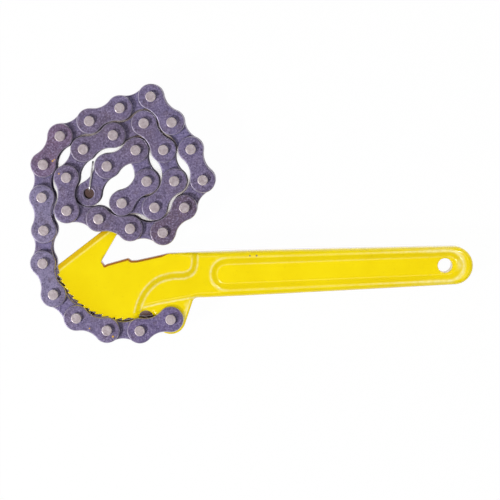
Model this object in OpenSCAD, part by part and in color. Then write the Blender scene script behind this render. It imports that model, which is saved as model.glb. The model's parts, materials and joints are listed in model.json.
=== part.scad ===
// Chain wrench: a cast handle with a toothed jaw, a hooked beak and a chain lug, and a bushed chain of
// 32 links that hangs on the lug, passes round the jaw and lies coiled flat above the beak.
// Millimetres. The origin is the centre of the hang hole in the middle plane of handle and chain.
// X runs along the grip towards its round end, Y from the lug side to the beak side, Z along the pins.

/* [Chain] */
// Distance from pivot to pivot
chain_pitch = 12.7; // [11.5:0.1:14]
// Thickness of every side plate
plate_t = 1.5; // [1:0.1:2.2]
// Free width between the two inner plates
inner_width = 7.95; // [7:0.05:9.5]
// Diameter of the riveted pins
pin_d = 3.97; // [3:0.01:4.6]
// How far a pin stands out of its outer plate
pin_stand = 1.3; // [0.6:0.1:2.4]
// Round-over at the ends of a pin
pin_round = 0.5; // [0.2:0.05:0.6]
// Outside diameter of the bushes
bush_d = 5.7; // [5.2:0.05:6.6]

/* [End wire] */
// Thickness of the wire in the empty end bush
wire_d = 0.7; // [0.4:0.05:0.8]
// Length of the wire from the bush's centre line to its tip
wire_reach = 12.4; // [8:0.1:12.8]

/* [Grip] */
// Distance from the hang hole to the lug pin, along the grip
lug_reach = 106.7; // [100:0.1:115]
// Distance of the lug pin below the grip's axis
lug_drop = 16.65; // [15.5:0.05:18]
// Distance from the lug pin to the head end of the grip
grip_start = 9.2; // [7:0.1:11]
// Width of the grip at its head end
grip_w_head = 17.3; // [16:0.1:19]
// Width of the grip at its round end
grip_w_end = 14.7; // [13:0.1:17]
// Distance from the hang hole to the centre of the round end
end_offset = 3.5; // [2:0.1:6]
// Thickness of the grip and the raised band
grip_t = 12.4; // [11.6:0.1:14]
// Width of the sloping edge round the grip
edge_w = 1.5; // [0.5:0.1:2]
// Height of the sloping edge round the grip
edge_h = 2.2; // [0.8:0.1:3]
// Diameter of the hang hole
hang_hole_d = 5.6; // [4:0.1:6]

/* [Panel] */
// Depth of the sunk panel on each face
panel_depth = 2; // [0.5:0.1:2.5]
// Width of the panel's floor at the head end
panel_w_head = 6.7; // [5:0.1:8]
// Width of the panel's floor at the round end
panel_w_end = 6.2; // [5:0.1:7]
// Distance from the head end of the grip to the panel's floor
panel_start = 8.8; // [6:0.1:12]
// Distance from the hang hole to the round end of the panel's floor
panel_end = 4.6; // [3.5:0.1:6]
// Slope of the panel's wall, measured across
panel_slope = 1.8; // [0.4:0.1:2.2]

/* [Head] */
// Jaw centre from the lug pin, along the grip
jaw_back = 17.2; // [16:0.1:18]
// Jaw centre from the lug pin, across the grip
jaw_up = 27.4; // [26:0.1:28.5]
// Number of teeth on the jaw
teeth = 13; // [9:1:17]
// Depth of the teeth
tooth_depth = 1; // [0.5:0.1:1.4]
// Distance of the beak's tip below the middle of the link that lies over it
tip_below = 2.4; // [2:0.1:3.4]
// Distance of the beak's tip behind the middle of that link
tip_behind = 2; // [1:0.1:3]
// Width of the bevel along the beak's back
beak_bevel = 2; // [0.8:0.1:3]
// Slope of that bevel, degrees
beak_bevel_angle = 25; // [10:1:35]
// Radius of the lug round its pin
lug_r = 5.85; // [5:0.05:6.5]
// Radius of the round relief between jaw and lug
relief_r = 2.85; // [2.2:0.05:3.2]
// Distance of the relief from the lug pin
relief_back = 9.5; // [9.2:0.1:10]
// Radius of the curved step from the flat head up to the raised band
band_r = 15.8; // [15:0.1:16.6]
// Width of that step
step_w = 2.6; // [1.4:0.1:3.2]

/* [Fits] */
// Radial clearance of a pin in its bush or in the lug
running_gap = 0.04; // [0.02:0.01:0.09]
// Radial clearance at a pressed seat
press_gap = 0.02; // [0.01:0.01:0.04]
// Clearance between an inner plate and the outer plate beside it
plate_gap = 0.17; // [0.1:0.01:0.4]
// Clearance between the plates of neighbouring turns of the coil
turn_gap = 0.2; // [0.15:0.01:0.5]
// Clearance of the head between the inner plates, each side
head_gap = 0.4; // [0.2:0.05:0.8]
// Clearance of the lug between the outer plates, each side
lug_gap = 0.2; // [0.1:0.05:0.5]
// Clearance between the jaw's teeth and the bushes that pass round it
jaw_gap = 1.1; // [0.6:0.1:2]
// Clearance between the raised band and the plates round the second pivot
band_gap = 2; // [0.2:0.1:3]
// How far the head reaches under the plates round the second pivot
head_tuck = 0.15; // [0:0.05:0.5]

/* [Hidden] */
$fn = 48;
// How the coil lies: direction of the first link, then the turn of each link from the one before it,
// and the direction of the end wire, in whole degrees
first_heading = -162;
wire_heading = 80;
turns = [-21, -21, -24, -26, -20, 5, -6, -28, -32, -4, -3, -71, -4, -14, -55, -7,
         -56, -10, 2, -75, -31, -34, -4, -75, -17, -56, -61, -131, 68, 100, 27];
links = len(turns) + 1;
// The link that lies over the beak's tip, and the pivots that pass round the jaw
beak_link = 18;
jaw_pivots = [1, 2, 3, 4, 5];

// Directions and places along the chain
function polar(r, a) = r * [cos(a), sin(a)];
function heading(i) = i == 0 ? first_heading : heading(i - 1) + turns[i - 1];
function pivot(i) = i == 0 ? [-lug_reach, -lug_drop] : pivot(i - 1) + polar(chain_pitch, heading(i - 1));
headings = [for (i = [0 : links - 1]) heading(i)];
pivots = [for (i = [0 : links]) pivot(i)];
lug = pivots[0];

// Distance of a point from the line between two pivots, taken within that line
function along(p, a, b) = max(0, min(1, (p - a) * (b - a) / (chain_pitch * chain_pitch)));
function off_link(p, a, b) = norm(p - a - along(p, a, b) * (b - a));

// Plate sizes follow the closest turns of the coil, so that neighbours just clear each other
closest_pivots = min([for (i = [0 : links - 2], j = [i + 2 : links]) norm(pivots[i] - pivots[j])]);
closest_link = min([for (i = [0 : links - 1], j = [0 : links])
    if (j < i - 1 || j > i + 2) off_link(pivots[j], pivots[i], pivots[i + 1])]);
plate_r = (closest_pivots - turn_gap) / 2;
waist = closest_link - plate_r - turn_gap;
waist_r = (chain_pitch * chain_pitch / 4 + waist * waist - plate_r * plate_r) / (2 * (plate_r - waist));
// Height where the waist's arc leaves the round end, and the share of it that the web takes
blend_y = plate_r * (waist + waist_r) / (plate_r + waist_r);
web_share = 0.95;

// Levels across the chain, from the middle plane
inner_low = inner_width / 2;
inner_high = inner_low + plate_t;
outer_low = inner_high + plate_gap;
outer_high = outer_low + plate_t;
pin_end = outer_high + pin_stand;
pin_bore_r = pin_d / 2 + running_gap;

// Thicknesses that fit the chain
head_t = inner_width - 2 * head_gap;
lug_t = 2 * (outer_low - lug_gap);

// Grip outline
grip_x = -lug_reach + grip_start;
end_r = grip_w_end / 2;
panel_x = grip_x + panel_start;
panel_head_r = panel_w_head / 2;
panel_end_r = panel_w_end / 2;

// Jaw and beak
jaw = lug + [-jaw_back, jaw_up];
jaw_r = min([for (i = jaw_pivots) norm(pivots[i] - jaw)]) - bush_d / 2 - jaw_gap;
jaw_from = 198;
jaw_to = 272;
tooth_angle = (jaw_to - jaw_from) / teeth;
root_r = jaw_r - tooth_depth;
beak_heel = jaw + polar(root_r, 191);
beak_tip = (pivots[beak_link] + pivots[beak_link + 1]) / 2 - [tip_behind, tip_below];
beak_tip_r = 2.2;
beak_tip_from = 60;
beak_nose = beak_tip + [2.7, -2];
hook_depth = 5.6;
hook_w = 1.5;
hook_left = jaw + [-8.7, 1.2 - hook_depth];
hook_right = jaw + [hook_w - 8.7, -hook_depth];
hook_rise = jaw + [1.7, -3.3];
shelf = jaw + [3, -4.3];
shelf_end = jaw + [5, -4.3];
shoulder_back = 9;
shoulder_drop = 0.2;
head_shoulder = [grip_x - shoulder_back, grip_w_head / 2 - shoulder_drop];
// How far the head and band run into the grip
overlap_x = 2;
band_run = 8;
beak_angle = atan2(beak_tip.y - beak_tip_r - beak_heel.y, beak_tip.x - beak_tip_r - beak_heel.x);

// Raised band
band_centre = lug + [1.2, 1.05];
band_turn_r = 3.1;
band_foot_rise = 6.4;
band_foot = lug.y + band_foot_rise;
band_from = 90;
band_to = 184;
turn_drop = 0.2;
relief = lug + [-relief_back, 0.8];
cut = 0.5;
deep = 40;

function two(i) = i < 10 ? str("0", i) : str(i);
OUTER = [for (k = [1 : 2 : links - 1]) k];
INNER = [for (k = [2 : 2 : links]) k];

// Points of an arc
function arc(c, r, from, to, n) = [for (i = [0 : n]) c + polar(r, from + (to - from) * i / n)];

// Both faces of the handle alike
module both_faces() {
    children();
    mirror([0, 0, 1]) children();
}

// Flat head: beak, hook notch, shelf, saw teeth and heel
module head_2d() {
    saw = [for (k = [0 : teeth - 1], p = [0 : 1])
        jaw + polar(p == 0 ? root_r : jaw_r, jaw_from + k * tooth_angle)];
    polygon(concat(
        [[grip_x + overlap_x, grip_w_head / 2 - edge_w], head_shoulder, shelf_end, shelf],
        [hook_rise, hook_right, hook_left, beak_nose],
        arc(beak_tip - [0, beak_tip_r], beak_tip_r, beak_tip_from, 90 + beak_angle, 4),
        [beak_heel],
        saw,
        [jaw + polar(root_r, jaw_to), [lug.x - lug_r, lug.y + 0.2], [grip_x + overlap_x, band_foot]]));
}

// Raised band: from the grip round the lug to the jaw's heel, drawn in by d along its step
module band_2d(d) {
    turn = [grip_x - band_turn_r, band_centre.y + band_r + band_turn_r - turn_drop];
    polygon(concat(
        [[grip_x + band_run, turn.y + overlap_x], [grip_x + d, turn.y + overlap_x]],
        arc(turn, band_turn_r + d, 0, -90, 6),
        arc(band_centre, band_r - d, band_from, band_to, 14),
        [[relief.x, lug.y - 1], [lug.x - 7, lug.y + 5.4], [grip_x - 1.5, 0.2 - grip_w_head / 2],
         [grip_x + band_run, edge_w - grip_w_head / 2]]));
}

// Lug: round about its pin, with a straight side up to the grip
module lug_2d() {
    inside = lug_r * 0.985;
    side_rise = 8;
    side_back = 0.8;
    web_rise = 5.6;
    side_angle = -18.4;
    translate(lug) {
        circle(r = lug_r);
        polygon([polar(inside, 180), [-lug_r, web_rise], [grip_start - side_back, side_rise],
            polar(inside, side_angle)]);
    }
}

// Tapered outline of the grip, drawn in by d
module grip_2d(d) {
    polygon(concat(
        [[grip_x, grip_w_head / 2 - d], [grip_x, -grip_w_head / 2 + d]],
        arc([end_offset, 0], end_r - d, -90, 90, 16)));
}

// Sunk panel, widened by d
module panel_2d(d) {
    polygon(concat(
        arc([panel_x + panel_head_r, 0], panel_head_r + d, 90, 270, 16),
        arc([panel_end - panel_end_r, 0], panel_end_r + d, -90, 90, 16)));
}

module grip() {
    hull() {
        linear_extrude(grip_t - 2 * edge_h, center = true) grip_2d(0);
        linear_extrude(grip_t, center = true) grip_2d(edge_w);
    }
}

module panel_cut() {
    translate([0, 0, grip_t / 2 - panel_depth]) hull() {
        linear_extrude(0.1) panel_2d(0);
        translate([0, 0, panel_depth]) linear_extrude(cut) panel_2d(panel_slope);
    }
}

module beak_bevel_cut() {
    translate([beak_heel.x, beak_heel.y, head_t / 2]) rotate(beak_angle)
        translate([-deep / 4, -beak_bevel, 0]) rotate([-beak_bevel_angle, 0, 0])
            cube([deep * 1.1, deep / 4, deep / 4]);
}

// Round cut about the chain's second pivot
module at_second_pivot(r) {
    translate([pivots[1].x, pivots[1].y, 0]) cylinder(r = r, h = deep, center = true);
}

module relief_cut() {
    translate([relief.x, relief.y, 0]) {
        cylinder(r = relief_r, h = deep, center = true);
        translate([0, -lug_r, 0]) cube([relief_r * 1.96, lug_r * 2, deep], center = true);
    }
}

module handle() {
    color("gold") difference() {
        union() {
            difference() {
                linear_extrude(head_t, center = true) head_2d();
                both_faces() beak_bevel_cut();
            }
            difference() {
                union() {
                    linear_extrude((head_t + grip_t) / 2, center = true) band_2d(0);
                    linear_extrude(grip_t, center = true) band_2d(step_w / 2);
                }
                at_second_pivot(plate_r + band_gap);
            }
            linear_extrude(lug_t, center = true) lug_2d();
            grip();
        }
        both_faces() panel_cut();
        relief_cut();
        at_second_pivot(plate_r - head_tuck);
        cylinder(d = hang_hole_d, h = deep, center = true);
        translate([lug.x, lug.y, 0]) cylinder(r = pin_bore_r, h = deep, center = true);
    }
}

// Waisted side plate along X from its first pivot, with a bore at each pivot
module plate(bore_r) {
    linear_extrude(plate_t) difference() {
        union() {
            for (x = [0, chain_pitch]) translate([x, 0]) circle(r = plate_r);
            difference() {
                translate([0, -blend_y * web_share]) square([chain_pitch, 2 * blend_y * web_share]);
                for (s = [-1, 1]) translate([chain_pitch / 2, s * (waist + waist_r)]) circle(r = waist_r);
            }
        }
        for (x = [0, chain_pitch]) translate([x, 0]) circle(r = bore_r);
    }
}

// Places its children at a link's first pivot, turned along the link
module at_link(k) {
    translate([pivots[k - 1].x, pivots[k - 1].y, 0]) rotate(headings[k - 1]) children();
}

module outer_plates(k) {
    color("dimgray") at_link(k) both_faces()
        translate([0, 0, outer_low]) plate(pin_d / 2 + press_gap);
}

module pins(k) {
    color("rosybrown") at_link(k) for (x = [0, chain_pitch]) translate([x, 0, 0])
        rotate_extrude() polygon([[0, -pin_end], [pin_d / 2 - pin_round, -pin_end],
            [pin_d / 2, -pin_end + pin_round], [pin_d / 2, pin_end - pin_round],
            [pin_d / 2 - pin_round, pin_end], [0, pin_end]]);
}

module inner_link(k) {
    color("slategray") at_link(k) {
        both_faces() translate([0, 0, inner_low]) plate(bush_d / 2 + press_gap);
        for (x = [0, chain_pitch]) translate([x, 0, 0]) difference() {
            cylinder(d = bush_d, h = 2 * inner_high, center = true);
            cylinder(r = pin_bore_r, h = 2 * inner_high + 2 * cut, center = true);
        }
    }
}

// Thin wire: one leg down inside the empty end bush, the other lying over the last link
module end_wire() {
    wire_r = wire_d / 2;
    bend_x = pin_bore_r - wire_r - 3 * press_gap;
    level = inner_high + wire_r + 3 * press_gap;
    end = pivots[links];
    color("silver") translate([end.x, end.y, 0]) rotate(wire_heading) {
        hull() for (z = [-inner_low, level]) translate([bend_x, 0, z]) sphere(r = wire_r, $fn = 16);
        hull() for (x = [bend_x, wire_reach]) translate([x, 0, level]) sphere(r = wire_r, $fn = 16);
    }
}

handle();
for (k = OUTER) outer_plates(k);
for (k = OUTER) pins(k);
for (k = INNER) inner_link(k);
end_wire();
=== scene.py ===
import json
import math

import bpy
import numpy as np
from mathutils import Matrix, Vector
from mathutils.geometry import delaunay_2d_cdt

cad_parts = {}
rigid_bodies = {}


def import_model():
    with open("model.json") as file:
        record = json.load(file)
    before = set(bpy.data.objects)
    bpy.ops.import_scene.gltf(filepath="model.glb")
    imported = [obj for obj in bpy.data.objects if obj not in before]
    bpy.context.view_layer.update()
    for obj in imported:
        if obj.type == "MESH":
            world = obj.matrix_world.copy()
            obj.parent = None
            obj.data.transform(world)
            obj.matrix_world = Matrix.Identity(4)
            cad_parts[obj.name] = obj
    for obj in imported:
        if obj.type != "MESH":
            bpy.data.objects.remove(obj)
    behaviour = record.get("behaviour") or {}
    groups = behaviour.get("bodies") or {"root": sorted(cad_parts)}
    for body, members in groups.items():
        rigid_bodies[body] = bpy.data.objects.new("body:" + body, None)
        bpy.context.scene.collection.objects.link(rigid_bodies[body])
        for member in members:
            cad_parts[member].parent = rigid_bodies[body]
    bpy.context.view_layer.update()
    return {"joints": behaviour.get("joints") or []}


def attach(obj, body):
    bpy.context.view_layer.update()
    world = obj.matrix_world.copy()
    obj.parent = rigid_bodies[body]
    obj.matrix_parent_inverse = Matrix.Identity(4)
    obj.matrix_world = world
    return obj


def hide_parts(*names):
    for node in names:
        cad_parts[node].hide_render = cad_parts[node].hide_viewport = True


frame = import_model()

MM = 0.001

# Sizes in millimetres, as in the part
PITCH = 12.7
LINKS = 32
PLATE_T = 1.5
PLATE_R = 4.96
PLATE_EDGE = (0.6, 0.5)
WAIST = 3.3
PIN_R = 1.985
PIN_END = 8.445
BUSH_R = 2.85
BUSH_BORE = 2.025
BORE_END = 5.3
CHAMFER = 0.12
SEAT_GAP = 0.02
INNER_LOW = 3.975
INNER_HIGH = 5.475
OUTER_LOW = 5.645
LAST_TURN = 27
HEAD_Z = 3.575
BAND_Z = 5.95
BEAD = 0.24
LUG_Z = 5.44
FLOOR_Z = 4.65
LUG = np.array([-106.7, -16.65])
LUG_R = 5.85
JAW = np.array([-123.9, 10.75])
HOLE_R = 2.8
HOLE_EDGE = (0.5, 0.4)
WIRE_R = 0.35
WIRE_GAP = 0.06
WIRE_BEND_R = 0.9
WIRE_LOW = -3.9
WIRE_REACH = 12.4
WIRE_HEADING = math.radians(80)


# Plane geometry

def polar(r, degrees):
    a = np.radians(degrees)
    return np.stack([r * np.cos(a), r * np.sin(a)], -1)


def arc(centre, r, start, end, n):
    return np.asarray(centre) + polar(r, np.linspace(start, end, n + 1))


def rounded(corners):
    """Closed outline through (x, y, radius) corners, each rounded by its radius."""
    pts = []
    for i, (x, y, r) in enumerate(corners):
        p = np.array([x, y], float)
        a = np.array(corners[i - 1][:2], float) - p
        b = np.array(corners[(i + 1) % len(corners)][:2], float) - p
        la, lb = np.linalg.norm(a), np.linalg.norm(b)
        a, b = a / la, b / lb
        half = math.acos(max(-1, min(1, a @ b))) / 2
        if r <= 0 or half > 1.55:
            pts.append(p)
            continue
        t = min(r / math.tan(half), 0.49 * la, 0.49 * lb)
        r = t * math.tan(half)
        c = p + (a + b) / np.linalg.norm(a + b) * r / math.sin(half)
        u, v = p + a * t - c, p + b * t - c
        turn = math.atan2(u[0] * v[1] - u[1] * v[0], u @ v)
        n = max(2, int(abs(turn) / math.radians(9)), int(abs(turn) * r / 0.5))
        start = math.degrees(math.atan2(u[1], u[0]))
        pts += list(arc(c, r, start, start + math.degrees(turn), n))
    return np.array(pts)


def spaced(loop, step):
    """The closed loop with no edge longer than the step."""
    out = []
    for a, b in zip(loop, np.roll(loop, -1, 0)):
        n = max(1, math.ceil(np.linalg.norm(b - a) / step - 1e-9))
        out += [a + (b - a) * i / n for i in range(n)]
    return np.array(out)


def signed(pts, loop):
    """Distance of each point from the closed loop, positive inside."""
    pts = np.asarray(pts, float)
    a, b = loop, np.roll(loop, -1, 0)
    ab = b - a
    sq = (ab ** 2).sum(1) + 1e-18
    out = np.empty(len(pts))
    batch = 2000
    for i in range(0, len(pts), batch):
        p = pts[i:i + batch, None]
        t = np.clip(((p - a) * ab).sum(2) / sq, 0, 1)
        d = np.sqrt((((a + t[..., None] * ab) - p) ** 2).sum(2).min(1))
        above = (a[:, 1] > p[..., 1]) != (b[:, 1] > p[..., 1])
        rise = np.where(ab[:, 1] == 0, 1e-18, ab[:, 1])
        cross = a[:, 0] + (p[..., 1] - a[:, 1]) * ab[:, 0] / rise
        odd = (above & (p[..., 0] < cross)).sum(1) % 2 == 1
        out[i:i + batch] = np.where(odd, d, -d)
    return out


def curve(points, n):
    """A smooth open curve through the points, with n steps between neighbours."""
    p = np.array(points, float)
    p = np.r_[[2 * p[0] - p[1]], p, [2 * p[-1] - p[-2]]]
    out = []
    for a, b, c, d in zip(p, p[1:], p[2:], p[3:]):
        for t in np.arange(n) / n:
            out.append(0.5 * (2 * b + (c - a) * t + (2 * a - 5 * b + 4 * c - d) * t ** 2
                              + (3 * b - a - 3 * c + d) * t ** 3))
    return np.array(out + [p[-2]])


def smooth(x, low, high):
    """0 below low, 1 above high, eased between."""
    t = np.clip((x - low) / (high - low), 0, 1)
    return t * t * (3 - 2 * t)


def soft(x, r):
    """max(x, 0) with its bend rounded over r each way."""
    return np.where(x < -r, 0, np.where(x > r, x, (x + r) ** 2 / (4 * r)))


def ramp(t, width, r):
    """Straight rise from 0 to 1 over the width, with both bends rounded."""
    return (soft(t, r) - soft(t - width, r)) / width


def edge_drop(d, w, h):
    """Fall of a rounded edge, w wide and h deep, at distance d from the outline."""
    u = 1 - np.clip(d / w, 0, 1)
    return h * (1 - np.sqrt(np.clip(1 - u * u, 0, 1)))


# Sheets and solids

# A slab's slopes are taken this far inside its outline, over this step
SLOPE_INSET = 0.012
SLOPE_STEP = 0.01
# Side walls that turn by more than this keep a sharp edge
SHARP = math.cos(math.radians(22))


def outward(loop):
    """Edge normals of a counter-clockwise loop, and the mean normal at each point."""
    e = np.roll(loop, -1, 0) - loop
    n = np.stack([e[:, 1], -e[:, 0]], 1)
    n /= np.linalg.norm(n, axis=1)[:, None] + 1e-18
    m = n + np.roll(n, 1, 0)
    return n, m / (np.linalg.norm(m, axis=1)[:, None] + 1e-18)


def triangulate(loops, extra):
    """Triangles inside the first loop and outside the others, through the extra points."""
    pts, edges = [], []
    for loop in loops:
        n, k = len(pts), len(loop)
        pts += [Vector(p) for p in loop]
        edges += [(n + i, n + (i + 1) % k) for i in range(k)]
    pts += [Vector(p) for p in extra]
    v, _, f, origin, _, _ = delaunay_2d_cdt(pts, edges, [], 1, 1e-6)
    index = {}
    for i, o in enumerate(origin):
        for k in o:
            index[k] = i
    xy, tri = np.array([tuple(p) for p in v]), np.array([tuple(t) for t in f])
    middle = xy[tri].mean(1)
    keep = signed(middle, loops[0]) > 0
    for hole in loops[1:]:
        keep &= signed(middle, hole) < 0
    return xy, tri[keep], index


def slab(loops, extra, height):
    """A slab over the loops, alike above and below its middle plane.
    Gives vertices, faces and corner normals; height(points) is its upper sheet.
    The first loop runs counter-clockwise, holes run clockwise."""
    xy, tri, index = triangulate(loops, extra)
    rings, k = [], 0
    inset = xy.copy()
    for loop in loops:
        ids = np.array([index[k + j] for j in range(len(loop))])
        k += len(loop)
        edge, mean = outward(loop)
        inset[ids] -= mean * SLOPE_INSET
        rings.append((ids, edge, mean))
    step = SLOPE_STEP
    z = height(xy)
    gx = (height(inset + [step, 0]) - height(inset - [step, 0])) / (2 * step)
    gy = (height(inset + [0, step]) - height(inset - [0, step])) / (2 * step)
    n = np.stack([-gx, -gy, np.ones(len(xy))], 1)
    n /= np.linalg.norm(n, axis=1)[:, None]
    flip = np.array([1, 1, -1])
    count = len(xy)
    verts = np.r_[np.c_[xy, z], np.c_[xy, -z]]
    faces = [tuple(t) for t in tri] + [tuple(t[::-1] + count) for t in tri]
    normals = [n[t] for t in tri] + [n[t[::-1]] * flip for t in tri]
    for ids, edge, mean in rings:
        for j in range(len(ids)):
            q = (j + 1) % len(ids)
            a, b = ids[j], ids[q]
            ends = []
            for v in (j, q):
                sharp = edge[j] @ mean[v] < SHARP
                ends.append((*(edge[j] if sharp else mean[v]), 0.0))
            faces.append((a, a + count, b + count, b))
            normals.append(np.array([ends[0], ends[0], ends[1], ends[1]]))
    return verts, faces, normals


def turned(profile, closed, count=36):
    """A turned piece from a profile of (radius, height, normal radius, normal height).
    The profile is a closed ring, or its two ends are capped flat."""
    prof = np.array(profile, float)
    ang = np.radians(np.arange(count) * 360 / count)
    verts = np.array([(r * math.cos(a), r * math.sin(a), z) for a in ang for r, z, _, _ in prof])
    n = np.array([(u * math.cos(a), u * math.sin(a), w) for a in ang for _, _, u, w in prof])
    m = len(prof)
    faces = []
    for i in range(count):
        j = (i + 1) % count
        for k in range(m if closed else m - 1):
            q = (k + 1) % m
            faces.append((i * m + k, j * m + k, j * m + q, i * m + q))
    normals = [n[list(f)] for f in faces]
    if not closed:
        low = tuple(i * m for i in range(count))
        faces += [low[::-1], tuple(i + m - 1 for i in low)]
        normals += [np.array([(0, 0, -1)] * count), np.array([(0, 0, 1)] * count)]
    return verts, faces, normals


class Solid:
    """Collects vertices, faces and a normal for each face corner."""

    def __init__(self):
        self.v, self.f, self.n = [], [], []
        self.count = 0

    def add(self, form, place=None):
        verts, faces, normals = form
        flat = np.concatenate(normals)
        if place:
            verts, flat = place(verts, flat)
        self.v.append(np.asarray(verts))
        self.n.append(flat)
        self.f += [tuple(int(k) + self.count for k in f) for f in faces]
        self.count += len(verts)

    def object(self, name, look):
        mesh = bpy.data.meshes.new(name)
        mesh.from_pydata((np.concatenate(self.v) * MM).tolist(), [], self.f)
        mesh.polygons.foreach_set("use_smooth", [True] * len(mesh.polygons))
        mesh.materials.append(look)
        mesh.normals_split_custom_set(np.concatenate(self.n).tolist())
        mesh.update()
        ob = bpy.data.objects.new(name, mesh)
        bpy.context.scene.collection.objects.link(ob)
        return ob


def profile_normals(points):
    """Adds smooth normals to a profile of (radius, height), listed so that outside is on its right."""
    p = np.array(points, float)
    e = np.diff(p, axis=0)
    n = np.stack([e[:, 1], -e[:, 0]], 1)
    n /= np.linalg.norm(n, axis=1)[:, None] + 1e-12
    ends = (n[-1:] + n[:1],) * 2 if np.allclose(p[0], p[-1]) else (n[:1], n[-1:])
    m = np.r_[ends[0], n[:-1] + n[1:], ends[1]]
    m /= np.linalg.norm(m, axis=1)[:, None]
    return np.c_[p, m]


# Materials

def material(name):
    m = bpy.data.materials.new(name)
    m.use_nodes = True
    nt = m.node_tree
    return m, nt, nt.nodes["Principled BSDF"]


def node(nt, kind, **values):
    n = nt.nodes.new(kind)
    for key, value in values.items():
        if hasattr(n, key):
            setattr(n, key, value)
        else:
            n.inputs[key.replace("_", " ")].default_value = value
    return n


def noise(nt, coords, scale, detail=3.0, rough=0.55):
    n = node(nt, "ShaderNodeTexNoise", Scale=scale, Detail=detail, Roughness=rough)
    nt.links.new(coords, n.inputs["Vector"])
    return n.outputs["Fac"]


def blend(nt, fac, stops):
    r = node(nt, "ShaderNodeValToRGB")
    el = r.color_ramp.elements
    while len(el) < len(stops):
        el.new(0.5)
    for e, (pos, col) in zip(el, stops):
        e.position = pos
        e.color = (*col, 1)
    nt.links.new(fac, r.inputs["Fac"])
    return r.outputs["Color"]


def mix(nt, fac, a, b, mode="MIX"):
    n = node(nt, "ShaderNodeMix", data_type="RGBA", blend_type=mode)
    for key, value in (("Factor", fac), ("A", a), ("B", b)):
        sockets = [s for s in n.inputs if s.name == key]
        s = sockets[0] if key == "Factor" else [t for t in sockets if t.type == "RGBA"][0]
        if isinstance(value, (int, float)):
            s.default_value = value
        elif isinstance(value, tuple):
            s.default_value = (*value, 1)
        else:
            nt.links.new(value, s)
    return [s for s in n.outputs if s.type == "RGBA"][0]


def levels(nt, value, low, high, out_low, out_high):
    n = node(nt, "ShaderNodeMapRange", From_Min=low, From_Max=high, To_Min=out_low, To_Max=out_high)
    nt.links.new(value, n.inputs["Value"])
    return n.outputs["Result"]


def bump(nt, height, strength, distance):
    n = node(nt, "ShaderNodeBump", Strength=strength, Distance=distance)
    nt.links.new(height, n.inputs["Height"])
    return n.outputs["Normal"]


def srgb(*colour):
    """Linear colour from 0 to 255 screen values."""
    return tuple(((c / 255 + 0.055) / 1.055) ** 2.4 if c > 10 else c / 255 / 12.92 for c in colour)


def math_node(nt, operation, a, b):
    n = node(nt, "ShaderNodeMath", operation=operation)
    for socket, value in zip(n.inputs, (a, b)):
        if isinstance(value, (int, float)):
            socket.default_value = value
        else:
            nt.links.new(value, socket)
    return n.outputs[0]


def painted_hook_wall_shade(nt, co):
    """1 on the steep walls of the hook notch and shelf, which are painted brown as shade."""
    place, face = node(nt, "ShaderNodeSeparateXYZ"), node(nt, "ShaderNodeSeparateXYZ")
    nt.links.new(co, place.inputs[0])
    nt.links.new(node(nt, "ShaderNodeTexCoord").outputs["Normal"], face.inputs[0])
    total = levels(nt, face.outputs["Z"], 0.72, 0.92, 1, 0)
    for value, limits in (
            (place.outputs["X"], (-0.134, -0.133, 0, 1)), (place.outputs["X"], (-0.108, -0.103, 1, 0)),
            (place.outputs["Y"], (0.003, 0.004, 0, 1)), (face.outputs["Y"], (0.1, 0.3, 0, 1))):
        total = math_node(nt, "MULTIPLY", total, levels(nt, value, *limits))
    return total


def specks(nt, co, places):
    """1 on small spots at the given places, in millimetres."""
    flat = node(nt, "ShaderNodeVectorMath", operation="MULTIPLY")
    nt.links.new(co, flat.inputs[0])
    flat.inputs[1].default_value = (1, 1, 0)
    total = 0.0
    for x, y, r in places:
        far = node(nt, "ShaderNodeVectorMath", operation="DISTANCE")
        nt.links.new(flat.outputs[0], far.inputs[0])
        far.inputs[1].default_value = (x * MM, y * MM, 0)
        spot = levels(nt, far.outputs["Value"], 0.4 * r * MM, r * MM, 1, 0)
        total = math_node(nt, "MAXIMUM", spot, total)
    return total


# Specks of paint on the plates, chips in the handle's paint and the wire's dark spot: x, y, radius
PAINT_SPECKS = [
    (-149.6, 46.2, 0.45), (-148.9, 46.7, 0.35), (-147.4, 41.2, 0.4),
    (-129.2, -22.4, 0.5), (-138.1, -18.9, 0.35)]
PAINT_CHIPS = [(-75.2, 6.75, 0.42), (-72.6, 6.7, 0.48)]
WIRE_SPOT = [(-134.1, 45.7, 1.5)]


def yellow_paint():
    m, nt, b = material("yellow_enamel")
    co = node(nt, "ShaderNodeTexCoord").outputs["Object"]
    broad = noise(nt, co, 55, 3)
    fine = noise(nt, co, 900, 3)
    base = blend(nt, broad, [(0.3, srgb(243, 215, 0)), (0.7, srgb(250, 225, 0))])
    base = mix(nt, levels(nt, fine, 0.62, 0.75, 0, 0.25), base, srgb(224, 190, 4))
    # Painted shade: a darker golden tone on the sloped bevel along the beak's back.
    gold = node(nt, "ShaderNodeAttribute", attribute_name="gold").outputs["Fac"]
    cloudy = levels(nt, broad, 0.3, 0.7, 0.5, 0.9)
    base = mix(nt, math_node(nt, "MULTIPLY", gold, cloudy), base, srgb(232, 184, 16))
    # Painted highlight: pale lines on the crests, steps and edges stand in for reflections of the lamps.
    painted_highlight = node(nt, "ShaderNodeAttribute", attribute_name="painted_highlight").outputs["Fac"]
    patchy = levels(nt, noise(nt, co, 700, 2), 0.35, 0.6, 0.35, 0.8)
    base = mix(nt, math_node(nt, "MULTIPLY", painted_highlight, patchy), base, srgb(255, 244, 176))
    # Painted shade: the walls of the hook notch and shelf are painted brown, as if in shadow.
    base = mix(nt, painted_hook_wall_shade(nt, co), base, srgb(190, 118, 30))
    base = mix(nt, specks(nt, co, PAINT_CHIPS), base, srgb(136, 118, 104))
    nt.links.new(base, b.inputs["Base Color"])
    nt.links.new(levels(nt, broad, 0.3, 0.7, 0.13, 0.19), b.inputs["Roughness"])
    nt.links.new(bump(nt, noise(nt, co, 420, 2), 0.03, 0.0002), b.inputs["Normal"])
    b.inputs["Specular IOR Level"].default_value = 0.5
    return m


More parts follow.
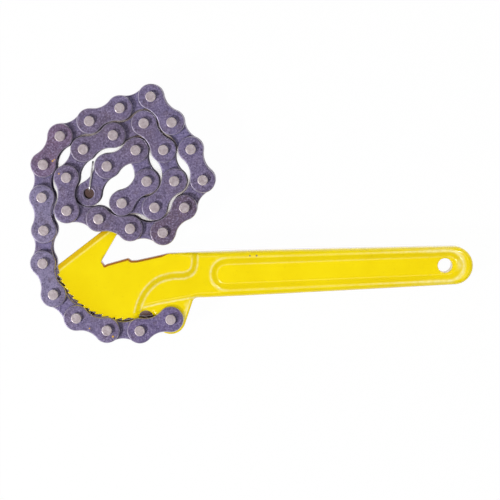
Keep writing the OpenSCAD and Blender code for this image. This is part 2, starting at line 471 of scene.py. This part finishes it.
def flatness(nt):
    """1 on flat faces, 0 on side walls."""
    face = node(nt, "ShaderNodeSeparateXYZ")
    nt.links.new(node(nt, "ShaderNodeTexCoord").outputs["Normal"], face.inputs[0])
    return math_node(nt, "ABSOLUTE", face.outputs["Z"], 0.0)


def plate_steel(name, tones):
    """Dark oiled steel: broad tones, brown stains, fine light and dark grain, rims lightened partly as
    worn edges and partly as painted highlight, and side walls painted dark as shade.
    """
    m, nt, b = material(name)
    co = node(nt, "ShaderNodeTexCoord").outputs["Object"]
    cloud = noise(nt, co, 260, 4, 0.6)
    grain = noise(nt, co, 1500, 2, 0.7)
    up = flatness(nt)
    rim = levels(nt, up, 0.55, 0.97, 1, 0)
    base = blend(nt, noise(nt, co, 42, 1), [(p, srgb(*c)) for p, c in zip((0.32, 0.5, 0.68), tones)])
    base = mix(nt, levels(nt, noise(nt, co, 330, 3), 0.5, 0.68, 0, 0.5), base, srgb(102, 84, 98))
    base = mix(nt, levels(nt, cloud, 0.4, 0.68, 0, 0.5), base, srgb(78, 69, 104))
    base = mix(nt, levels(nt, grain, 0.52, 0.7, 0, 0.75), base, srgb(160, 148, 182))
    base = mix(nt, levels(nt, grain, 0.3, 0.46, 0.9, 0), base, srgb(58, 48, 76))
    base = mix(nt, specks(nt, co, PAINT_SPECKS), base, srgb(226, 178, 52))
    wall = levels(nt, up, 0.15, 0.4, 1, 0)
    # Rims lightened, partly as worn edges and partly as a painted highlight.
    base = mix(nt, levels(nt, rim, 0, 1, 0, 0.8), base, srgb(226, 219, 232))
    # Painted shade: the side walls are painted dark, with no metal or shine, as if in shadow.
    base = mix(nt, wall, base, srgb(66, 56, 70))
    nt.links.new(base, b.inputs["Base Color"])
    metal = levels(nt, math_node(nt, "SUBTRACT", rim, wall), 0, 1, 0.15, 0.85)
    nt.links.new(metal, b.inputs["Metallic"])
    nt.links.new(levels(nt, wall, 0, 1, 0.5, 0), b.inputs["Specular IOR Level"])
    rough = levels(nt, cloud, 0.3, 0.7, 0.42, 0.56)
    nt.links.new(math_node(nt, "SUBTRACT", rough, levels(nt, rim, 0, 1, 0, 0.16)), b.inputs["Roughness"])
    nt.links.new(bump(nt, grain, 0.3, 0.0001), b.inputs["Normal"])
    return m


def pin_steel():
    m, nt, b = material("bright_pin_steel")
    co = node(nt, "ShaderNodeTexCoord").outputs["Object"]
    cloud = noise(nt, co, 900, 4, 0.65)
    base = blend(nt, cloud, [
        (0.3, srgb(172, 156, 161)), (0.5, srgb(192, 178, 183)), (0.75, srgb(210, 200, 203))])
    # Painted highlight: the pins' rounded ends are lightened towards white.
    base = mix(nt, levels(nt, flatness(nt), 0.55, 0.97, 0.6, 0), base, srgb(246, 238, 236))
    nt.links.new(base, b.inputs["Base Color"])
    b.inputs["Metallic"].default_value = 0.25
    nt.links.new(levels(nt, cloud, 0.3, 0.7, 0.28, 0.4), b.inputs["Roughness"])
    nt.links.new(bump(nt, noise(nt, co, 1900, 3), 0.3, 0.00008), b.inputs["Normal"])
    return m


def wire_steel():
    m, nt, b = material("bright_wire")
    co = node(nt, "ShaderNodeTexCoord").outputs["Object"]
    cloud = noise(nt, co, 900, 3)
    base = blend(nt, cloud, [(0.3, srgb(196, 190, 190)), (0.7, srgb(232, 228, 228))])
    base = mix(nt, specks(nt, co, WIRE_SPOT), base, srgb(46, 42, 44))
    nt.links.new(base, b.inputs["Base Color"])
    b.inputs["Metallic"].default_value = 0.5
    nt.links.new(levels(nt, cloud, 0.3, 0.7, 0.2, 0.32), b.inputs["Roughness"])
    return m


PAINT, PIN, WIRE = yellow_paint(), pin_steel(), wire_steel()
OUTER_PLATE = plate_steel("dark_oiled_steel", [(112, 97, 126), (118, 105, 141), (122, 111, 151)])
BROWN_PLATE = plate_steel("browned_steel", [(118, 92, 120), (124, 99, 132), (130, 107, 143)])
DARK_PLATE = plate_steel("dark_browned_steel", [(100, 79, 98), (104, 84, 108), (110, 92, 120)])
GREY_PLATE = plate_steel("grey_oiled_steel", [(127, 117, 146), (133, 124, 157), (137, 130, 167)])
VIOLET_PLATE = plate_steel("violet_oiled_steel", [(102, 86, 122), (108, 92, 134), (112, 98, 142)])
INNER_PLATE = plate_steel("blued_inner_steel", [(114, 101, 134), (119, 108, 149), (123, 114, 160)])
OUTER_TONES = {1: VIOLET_PLATE, 5: GREY_PLATE, 7: GREY_PLATE, 9: BROWN_PLATE, 17: DARK_PLATE}


# Handle

def saw_teeth(count=13, start=198, end=272, tip=27.4, root=26.4):
    step = (end - start) / count
    pts = []
    for k in range(count):
        a = start + k * step
        pts += [(*(JAW + polar(root, a)), 0.1), (*(JAW + polar(tip, a)), 0.12)]
    return pts + [(*(JAW + polar(root, end)), 0.3)]


RELIEF = np.array([-116.2, -15.85])
RELIEF_R = 2.87
HEEL = np.array([-149.75, 5.7])
BACK = np.array([-131.7, 18.5])
SECOND_PIVOT = np.array([-118.78, -20.57])
# Low ground round the second pivot, where the chain turns
CLEAR_R = 6.4
CLEAR_W = 2.6
# Roundings of the step's bends and of the lug's
STEP_ROUND = 0.55
LUG_ROUND = 0.4
LUG_STEP_W = 1.3
# Bevel along the beak's back
BACK_W = 2.0
BACK_SLOPE = math.tan(math.radians(25))

OUTLINE = spaced(rounded(
    [(-97.5, -8.83, 2.2), (-78, -8.72, 60), (-40, -8.2, 90)]
    + [(*p, 0) for p in arc((3.48, -0.16), 7.34, -88, 88, 34)]
    + [(-48, 8.06, 90), (-72, 8.5, 60), (-98, 8.68, 60), (-106.6, 8.65, 8),
       (-119, 6.4, 1.2), (-121.1, 6.4, 0.8), (-122.3, 7.4, 1.0),
       (-130.7, 5.35, 0.6), (-131.5, 4.9, 0.25), (-132.8, 6.5, 0.3),
       (-126.1, 17.1, 0.8), (-127.6, 18.75, 1.6), (*BACK, 2.0), (*HEEL, 0.5)]
    + saw_teeth()
    + [(-119.4, -16.4, 0.5)] + [(*p, 0) for p in arc(RELIEF, RELIEF_R, 172, 8, 16)]
    + [(-113.2, -17.4, 0.5), (-112.6, -17.0, 0.2)]
    + [(*p, 0) for p in arc(LUG, LUG_R, 186, 341, 30)]), 0.7)
HOLE = arc((0, 0), HOLE_R, 0, -360, 40)[:-1]

# Foot of the curved step, and the side of it that carries the raised band
STEP_FOOT = curve([
    (-97.7, 7.1), (-97.9, 4.3), (-98.7, 2.3), (-100.7, 1.3), (-102.8, 1.2), (-105.2, 1.2),
    (-108.3, 0.7), (-111.8, -0.5), (-115.0, -2.9), (-117.6, -5.9), (-119.6, -9.7), (-120.8, -13.3)], 7)
STEP_W = 2.4
BAND_SIDE = np.concatenate([[(60, 30), (-97.8, 30)], STEP_FOOT, [(-121.6, -40), (60, -40)]])


def step_line(off):
    """The step's foot moved by a distance towards the band."""
    t = np.gradient(STEP_FOOT, axis=0)
    t /= np.linalg.norm(t, axis=1)[:, None]
    return STEP_FOOT + off * np.stack([-t[:, 1], t[:, 0]], 1)


# Side of the band's lower edge that lies above the lug
ABOVE_LUG = np.array([
    (60, 30), (-140, 30), (-140, -13.6), (-120, -13.4), (-116.8, -11.85), (-110.6, -10.6), (-107.7, -10.2),
    (-99, -8.95), (-95.5, -9.0), (-92, -11), (-90, -40), (60, -40)])

# Sunk panel: centre, radius and wall of its head end and of its round end
HEAD_END, HEAD_END_R, HEAD_END_WALL = (-84.7, 0), 3.35, 2.45
ROUND_END, ROUND_END_R, ROUND_END_WALL = (1.3, 0), 3.15, 2.37


def panel_ring(f, n=30):
    """Outline of the panel's wall, from its floor (0) to its crest (1)."""
    return np.concatenate([
        arc(HEAD_END, HEAD_END_R + HEAD_END_WALL * f, 90, 270, n),
        arc(ROUND_END, ROUND_END_R + ROUND_END_WALL * f, -90, 90, n)])


PANEL = panel_ring(0, 24)


def panel_wall(x):
    """Width of the panel's wall along the grip."""
    return np.interp(x, [-90, -83, 8], [2.35, 2.7, 2.35])


def handle_edge(p):
    """Width and depth of the rounded edge near each point."""
    grip = smooth(p[:, 0], -108, -95)
    lug = smooth(-p[:, 1], 9.3, 11.5) * smooth(p[:, 0], -114, -110)
    hook = smooth(p[:, 0], -133, -131.5) * smooth(p[:, 1], 3, 4.5) * smooth(-p[:, 0], 106, 110)
    hook = hook * (1 - smooth(p[:, 1], 8, 10))
    w = 0.3 + 0.9 * hook + (np.interp(p[:, 0], [-97, 8], [2.35, 1.75]) - 0.3) * grip
    h = 0.3 + 1.8 * hook + 1.9 * grip
    return w + (1.3 - w) * lug, h + (1.0 - h) * lug


def back_distance(p):
    """Distance from the straight back of the beak."""
    u = (BACK - HEEL) / np.linalg.norm(BACK - HEEL)
    return (p - HEEL) @ np.array([u[1], -u[0]])


def handle_height(p):
    """Height of the handle's upper face above the middle plane."""
    d = signed(p, OUTLINE)
    w, h = handle_edge(p)
    rise = np.minimum(ramp(signed(p, BAND_SIDE), STEP_W, STEP_ROUND),
                      ramp(np.hypot(*(p - SECOND_PIVOT).T) - CLEAR_R, CLEAR_W, STEP_ROUND))
    step = HEAD_Z + (BAND_Z - HEAD_Z) * rise
    lug = LUG_Z + (BAND_Z - LUG_Z) * ramp(signed(p, ABOVE_LUG), LUG_STEP_W, LUG_ROUND)
    z = np.minimum(step, lug)
    q = -signed(p, PANEL)
    wall = panel_wall(p[:, 0])
    z = np.minimum(z, FLOOR_Z + (BAND_Z - FLOOR_Z) * ramp(q - 0.3, wall - 0.6, 0.5))
    z = z + BEAD * np.exp(-((q - wall - 0.35) / 0.75) ** 2)
    z = z - BACK_SLOPE * soft(BACK_W - back_distance(p), 0.3)
    z = z - edge_drop(d, w, h)
    return z - edge_drop(np.hypot(p[:, 0], p[:, 1]) - HOLE_R, *HOLE_EDGE)


# Steps of the handle's grid near features and elsewhere, and its rows' spacing as a share of the step
FINE = 0.4
COARSE = 1.3
ROW = 0.866


def handle_points():
    """Points inside the handle: rings along its edge, and a grid that is fine near each feature."""
    _, mean = outward(OUTLINE)
    w, _ = handle_edge(OUTLINE)
    pts = []
    for f in (0.04, 0.12, 0.25, 0.42, 0.6, 0.8, 1.0):
        ring = OUTLINE - mean * (f * w)[:, None]
        d = signed(ring, OUTLINE)
        pts.append(ring[np.abs(d - f * w) < 0.12 * f * w])
    for r in (0.06, 0.22, HOLE_EDGE[0]):
        pts.append(arc((0, 0), HOLE_R + r, 0, 360, 44)[:-1])
    lines = []
    for off in (-0.4, -0.18, 0.05, 0.28, 0.5):
        lines += [step_line(off), step_line(off + STEP_W)[::2]]
    for f in (-0.1, 0, 0.12, 0.28, 0.5, 0.7, 0.82, 0.94, 1.06, 1.18, 1.3):
        lines.append(spaced(panel_ring(f), 0.8))
    lines = np.concatenate(lines)
    inner = signed(lines, OUTLINE) > handle_edge(lines)[0] + 0.12
    pts.append(lines[inner & (np.hypot(*lines.T) > HOLE_R + 0.6)])
    lo, hi = OUTLINE.min(0), OUTLINE.max(0)
    for pitch, near in ((FINE, True), (COARSE, False)):
        row = pitch * ROW
        j, i = np.mgrid[0:int((hi[1] - lo[1]) / row), 0:int((hi[0] - lo[0]) / pitch)]
        g = np.stack([lo[0] + (i + 0.5 * (j % 2)) * pitch, lo[1] + j * pitch * ROW], -1).reshape(-1, 2)
        gw, _ = handle_edge(g)
        g = g[signed(g, OUTLINE) > gw + 0.5 * pitch]
        s, above, q = signed(g, BAND_SIDE), signed(g, ABOVE_LUG), -signed(g, PANEL)
        feature = (s > -0.9) & (s < 3.5)
        feature |= (above > -0.7) & (above < 2.0) & (g[:, 0] < -92)
        feature |= (q > -0.9) & (q < 4.5)
        feature |= back_distance(g) < 2.7
        taken = np.hypot(g[:, 0], g[:, 1]) < HOLE_R + HOLE_EDGE[0] + 0.5 * pitch
        taken |= (q > -0.45) & (q < 3.7)
        near_s = (np.abs(s) < 0.6) | (np.abs(s - STEP_W) < 0.65)
        taken |= near_s & (g[:, 0] < -92) & (g[:, 1] < 7.0)
        pts.append(g[(feature == near) & ~taken])
    return np.concatenate(pts)


def painted_highlight(p):
    """Painted highlights: pale lines along the raised edges, crests and steps, and a pale patch beyond the
    hang hole, 0 to 1.
    """
    def line(t, w):
        return np.exp(-(t / w) ** 2)

    x, y = p.T
    q = -signed(p, PANEL) - panel_wall(x)
    s, a, d = signed(p, BAND_SIDE), signed(p, ABOVE_LUG), signed(p, OUTLINE)
    thin = 0.28
    crest = line(q - 0.3, 0.32 + 0.22 * smooth(x, -14, -5)) * (
        0.32 + 0.68 * smooth(-x, 82, 88) + 0.68 * smooth(x, -40, -4))
    end = line(x - 5.6, 0.9) * line(y - 0.3, 1.7) * 0.8
    foot = line(q + np.interp(x, [-91, 8], [2.4, 2.0]), 0.25) * 0.25 * smooth(y, -2, 2)
    back = line(back_distance(p) - 2.1, 0.25) * smooth(-x, 126, 129) * 0.6
    steps = np.maximum(line(s - 0.05, thin), line(s - STEP_W + 0.05, thin))
    steps = steps * smooth(d, 0.5, 1.2) * smooth(-x, 90, 95)
    steps = steps * smooth(np.hypot(*(p - SECOND_PIVOT).T), CLEAR_R, 7.5)
    edge = line(a - 0.2, thin) * smooth(x, -118.5, -117) * smooth(-x, 93, 95) * smooth(s, 1.5, 2.8)
    lug = line(d - 1.1, thin) * smooth(-a, 0.4, 1) * smooth(x, -104, -102)
    return np.clip(np.maximum.reduce([crest, foot, end, back, steps, edge, lug]), 0, 1)


def build_handle():
    s = Solid()
    s.add(slab([OUTLINE, HOLE], handle_points(), handle_height))
    ob = s.object("cast_handle", PAINT)
    xy = s.v[0][:, :2]
    for name, values in (("painted_highlight", painted_highlight(xy)), ("gold", smooth(1.9 - back_distance(xy), 0, 0.5))):
        mark = ob.data.attributes.new(name, "FLOAT", "POINT")
        mark.data.foreach_set("value", values.astype(np.float32))
    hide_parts("handle")
    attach(ob, "handle")


# Chain

def plate_outline():
    """Round ends about both pivots, joined by two hollow waists."""
    waist_r = (PITCH ** 2 / 4 + WAIST ** 2 - PLATE_R ** 2) / (2 * (PLATE_R - WAIST))
    phi = math.degrees(math.atan2(WAIST + waist_r, PITCH / 2))
    low, high = (PITCH / 2, -WAIST - waist_r), (PITCH / 2, WAIST + waist_r)
    left = arc((0, 0), PLATE_R, phi, 360 - phi, 44)
    right = arc((PITCH, 0), PLATE_R, phi - 180, 180 - phi, 44)
    lower = arc(low, waist_r, 180 - phi, phi, 12)[1:-1]
    upper = arc(high, waist_r, -phi, phi - 180, 12)[1:-1]
    return np.concatenate([left, lower, right, upper])


def plate(bore):
    """One side plate about its own middle plane, with its first pivot at the origin."""
    loop = plate_outline()
    holes = [arc((x, 0), bore, 0, -360, 28)[:-1] for x in (0, PITCH)]
    _, mean = outward(loop)
    rings = [loop - mean * f * PLATE_EDGE[0] for f in (0.07, 0.26, 0.56, 1.0)]
    inner = [loop - mean * 1.5]
    rims = [arc((x, 0), bore + 0.25, 0, 360, 28)[:-1] for x in (0, PITCH)]

    def height(p):
        d = signed(p, loop)
        return PLATE_T / 2 - edge_drop(d, *PLATE_EDGE)
    return slab([loop] + holes, np.concatenate(rings + inner + rims), height)


def placer(origin, heading, z=0.0):
    """Moves points and normals from a link's own frame to the part's frame."""
    c, s = math.cos(heading), math.sin(heading)
    r = np.array([[c, -s, 0], [s, c, 0], [0, 0, 1]])
    o = np.array([origin[0], origin[1], z])
    return lambda p, n: (np.asarray(p) @ r.T + o, np.asarray(n) @ r.T)


# The chain's pivots, and the empty bush at its end
PIVOTS = [np.array(j["pos_m"][:2]) / MM for j in frame["joints"]]
last = PIVOTS[-1] - PIVOTS[-2]
turn = math.radians(LAST_TURN)
PIVOTS.append(PIVOTS[-1] + np.array([
    last[0] * math.cos(turn) - last[1] * math.sin(turn),
    last[0] * math.sin(turn) + last[1] * math.cos(turn)]))

PIN_TOP = [(1.66, PIN_END), (1.76, 8.43), (1.86, 8.38), (1.93, 8.3), (1.97, 8.19), (PIN_R, 8.05)]
PIN_PROFILE = profile_normals([(r, -z) for r, z in PIN_TOP] + [(r, z) for r, z in PIN_TOP[::-1]])
BUSH_PROFILE = profile_normals([
    (BUSH_BORE, BORE_END), (BUSH_BORE, 0), (BUSH_BORE, -BORE_END), (BUSH_BORE + CHAMFER, -INNER_HIGH),
    (BUSH_R - CHAMFER, -INNER_HIGH), (BUSH_R, -INNER_HIGH + CHAMFER), (BUSH_R, INNER_HIGH - CHAMFER),
    (BUSH_R - CHAMFER, INNER_HIGH), (BUSH_BORE + CHAMFER, INNER_HIGH), (BUSH_BORE, BORE_END)])


def finish_piece(solid, name, mat, nodes, body):
    ob = solid.object(name, mat)
    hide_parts(*nodes)
    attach(ob, body)


def build_chain():
    outer, inner = plate(PIN_R + SEAT_GAP), plate(BUSH_R + SEAT_GAP)
    pin, bush = turned(PIN_PROFILE, False), turned(BUSH_PROFILE[:-1], True)
    for k in range(1, LINKS + 1):
        a, b = PIVOTS[k - 1], PIVOTS[k]
        heading = math.atan2(b[1] - a[1], b[0] - a[0])
        name, body = f"{k:02d}", f"link_{k:02d}"
        level = (OUTER_LOW if k % 2 else INNER_LOW) + PLATE_T / 2
        plates = Solid()
        for z in (level, -level):
            plates.add(outer if k % 2 else inner, placer(a, heading, z))
        if k % 2:
            finish_piece(plates, "outer_plate_pair_" + name, OUTER_TONES.get(k, OUTER_PLATE),
                         ["outer_plates_" + name], body)
            pins = Solid()
            for pivot in (a, b):
                pins.add(pin, placer(pivot, heading))
            finish_piece(pins, "pin_pair_" + name, PIN, ["pins_" + name], body)
        else:
            for pivot in (a, b):
                plates.add(bush, placer(pivot, heading))
            finish_piece(plates, "bushed_link_" + name, INNER_PLATE,
                         ["inner_link_" + name], body)


def build_wire():
    """A round wire that comes up through the empty bush and bends out over the plate."""
    bend = BUSH_BORE - WIRE_R - WIRE_GAP
    level = INNER_HIGH + WIRE_R + WIRE_GAP
    reach = WIRE_REACH + WIRE_R
    r = WIRE_BEND_R
    path = [(bend, WIRE_LOW), (bend, 0), (bend, level - r)]
    path += [(bend + r - r * math.cos(t), level - r + r * math.sin(t))
             for t in np.radians([15, 30, 45, 60, 75, 90])]
    path += [(bend + r + (reach - bend - r) * f, level) for f in (0.15, 0.4, 0.65, 0.85, 0.93, 0.98, 1.0)]
    radii = [WIRE_R] * (len(path) - 3) + [WIRE_R, WIRE_R * 0.85, WIRE_R * 0.3]
    radii[0] = WIRE_R * 0.6
    s = Solid()
    sides = 14
    pts, nrm = [], []
    p = np.array(path)
    tan = np.gradient(p, axis=0)
    tan /= np.linalg.norm(tan, axis=1)[:, None]
    for (x, z), t, rad in zip(p, tan, radii):
        for a in np.radians(np.arange(sides) * 360 / sides):
            n = np.array([-t[1] * math.cos(a), math.sin(a), t[0] * math.cos(a)])
            pts.append(np.array([x, 0, z]) + rad * n)
            nrm.append(n)
    faces = []
    for i in range(0, (len(path) - 1) * sides, sides):
        for j in range(sides):
            q = (j + 1) % sides
            faces.append((i + j, i + sides + j, i + sides + q, i + q))
    end = (len(path) - 1) * sides
    faces += [tuple(range(sides)), tuple(range(end, end + sides))[::-1]]
    nrm = np.array(nrm)
    s.add((np.array(pts), faces, [nrm[list(f)] for f in faces]), placer(PIVOTS[-1], WIRE_HEADING))
    finish_piece(s, "bent_end_wire", WIRE, ["end_wire"], "link_32")


build_handle()
build_chain()
build_wire()


# Stage, light and camera

# Light from the world on the object, and the dark ceiling that shiny surfaces show
WORLD_LIGHT = 0.24
CEILING = 0.1
TARGET = Vector((-75.072, 9.131, 8.6)) * MM
ROLL = math.radians(-2.1877)
OFFSET = Matrix.Rotation(ROLL, 3, "Z") @ (Vector((0, 60, 1000)) * MM)
UP = Matrix.Rotation(ROLL, 3, "Z") @ Vector((0, 1, 0))
LENS = 187.56
# Soft lamps by azimuth; lamps on the handle and on the rest by name, azimuth, elevation, size, share
SOFT_LAMPS = (265, 325, 25, 85, 145)
SOFT_SHAPE = (60, 0.3, 0.042)
HANDLE_LAMPS = (("key_on_handle", 222, 50, 0.16, 0.32), ("fill_on_handle", 50, 48, 0.2, 0.24))
CHAIN_LAMP = ("key_on_chain", 207, 38, 0.14, 0.55)


def background_rays(nt):
    """1 for rays that should see the plain background: camera, glossy and transmission."""
    path = node(nt, "ShaderNodeLightPath")
    total = path.outputs["Is Camera Ray"]
    for name in ("Is Glossy Ray", "Is Transmission Ray"):
        total = math_node(nt, "MAXIMUM", total, path.outputs[name])
    return total


# Floor: half size in metres, gap under the pins, and reach of the shade under the part
FLOOR_HALF = 4.0
FLOOR_GAP = 0.05
SHADE_REACH = 0.009
FLOOR_SHARE = 0.985
# Distances from the hang hole's centre over which the shade comes in
HOLE_BRIGHT = (0.0105, 0.014)
# Narrow places through which little light reaches the floor, and the share of it that does
DEEP_SHARE = 0.47
DEEP_SPOTS = [(*PIVOTS[-1], 5.5), (*RELIEF, 7.0)] + [(*p, 7.0) for p in arc(JAW, 28.5, 200, 268, 7)]


def build_floor():
    mesh = bpy.data.meshes.new("floor")
    r, z = FLOOR_HALF, -(PIN_END + FLOOR_GAP) * MM
    mesh.from_pydata([(-r, -r, z), (r, -r, z), (r, r, z), (-r, r, z)], [], [(0, 1, 2, 3)])
    ob = bpy.data.objects.new("floor", mesh)
    bpy.context.scene.collection.objects.link(ob)
    m = bpy.data.materials.new("pale_floor")
    m.use_nodes = True
    nt = m.node_tree
    nt.nodes.clear()
    out = node(nt, "ShaderNodeOutputMaterial")
    lit = node(nt, "ShaderNodeBsdfDiffuse", Color=(0.9, 0.9, 0.9, 1))
    glow = node(nt, "ShaderNodeEmission", Strength=1.0)
    co = node(nt, "ShaderNodeTexCoord").outputs["Object"]
    reach = node(nt, "ShaderNodeVectorMath", operation="LENGTH")
    nt.links.new(co, reach.inputs[0])
    open_sky = node(nt, "ShaderNodeAmbientOcclusion", samples=24, Distance=SHADE_REACH)
    deep = levels(nt, specks(nt, co, DEEP_SPOTS), 0, 1, 1, DEEP_SHARE)
    seen = math_node(nt, "MAXIMUM", math_node(nt, "MULTIPLY", open_sky.outputs["AO"], deep),
                     levels(nt, reach.outputs["Value"], *HOLE_BRIGHT, 1, 0))
    nt.links.new(blend(nt, seen, [
        (0.05, srgb(60, 47, 44)), (0.12, srgb(112, 84, 78)), (0.2, (1, 1, 1))]), glow.inputs["Color"])
    both = node(nt, "ShaderNodeMixShader")
    nt.links.new(math_node(nt, "MULTIPLY", background_rays(nt), FLOOR_SHARE), both.inputs[0])
    nt.links.new(lit.outputs[0], both.inputs[1])
    nt.links.new(glow.outputs[0], both.inputs[2])
    nt.links.new(both.outputs[0], out.inputs["Surface"])
    mesh.materials.append(m)


def build_world():
    w = bpy.data.worlds.new("studio")
    bpy.context.scene.world = w
    w.use_nodes = True
    nt = w.node_tree
    nt.nodes.clear()
    out = node(nt, "ShaderNodeOutputWorld")
    bg = node(nt, "ShaderNodeBackground", Color=(1, 1, 1, 1))
    split = node(nt, "ShaderNodeSeparateXYZ")
    nt.links.new(node(nt, "ShaderNodeTexCoord").outputs["Generated"], split.inputs[0])
    ceiling = levels(nt, split.outputs["Z"], 0.02, 0.06, 1.0, CEILING)
    both = node(nt, "ShaderNodeMix", data_type="FLOAT")
    both.inputs[2].default_value = WORLD_LIGHT
    nt.links.new(background_rays(nt), both.inputs[0])
    nt.links.new(ceiling, both.inputs[3])
    nt.links.new(both.outputs[0], bg.inputs["Strength"])
    nt.links.new(bg.outputs[0], out.inputs["Surface"])


def aim(ob, place, target, up):
    """Puts a camera or lamp at the place, looking at the target."""
    back = (place - target).normalized()
    right = up.cross(back).normalized()
    m = Matrix((right, back.cross(right), back)).transposed().to_4x4()
    m.translation = place
    ob.matrix_world = m


def build_camera():
    cam = bpy.data.cameras.new("camera")
    cam.lens = LENS
    cam.sensor_width = 36
    cam.clip_start, cam.clip_end = 0.01, 50
    ob = bpy.data.objects.new("camera", cam)
    bpy.context.scene.collection.objects.link(ob)
    aim(ob, TARGET + OFFSET, TARGET, UP)
    bpy.context.scene.camera = ob


def build_lamp(name, azimuth, elevation, size, share, distance=0.9):
    """A square lamp that gives a flat surface this share of its light.
    Azimuth is counter-clockwise from +X."""
    lamp = bpy.data.lights.new(name, "AREA")
    lamp.size = size
    a, e = math.radians(azimuth), math.radians(elevation)
    lamp.energy = share * (math.pi * distance) ** 2 / math.sin(e)
    ob = bpy.data.objects.new(name, lamp)
    bpy.context.scene.collection.objects.link(ob)
    away = Vector((math.cos(a) * math.cos(e), math.sin(a) * math.cos(e), math.sin(e))) * distance
    aim(ob, TARGET + away, TARGET, Vector((0, 0, 1)))
    return ob


def build_lamps():
    """Soft lamps on everything, two on the handle alone and one on all the rest."""
    for azimuth in SOFT_LAMPS:
        build_lamp(f"soft_{azimuth}", azimuth, *SOFT_SHAPE)
    handle, near, others = [bpy.data.collections.new(name) for name in (
        "handle_only", "handle_and_first_link", "all_but_handle")]
    for ob in bpy.context.scene.objects:
        if ob.type == "MESH":
            (handle if ob.name in ("cast_handle", "handle") else others).objects.link(ob)
            if ob.name in ("cast_handle", "outer_plate_pair_01", "pin_pair_01"):
                near.objects.link(ob)
    for values in HANDLE_LAMPS:
        lamp = build_lamp(*values)
        lamp.light_linking.receiver_collection = handle
        lamp.light_linking.blocker_collection = near
    build_lamp(*CHAIN_LAMP).light_linking.receiver_collection = others


build_floor()
build_world()
build_camera()
build_lamps()
bpy.context.scene.view_settings.view_transform = "Standard"
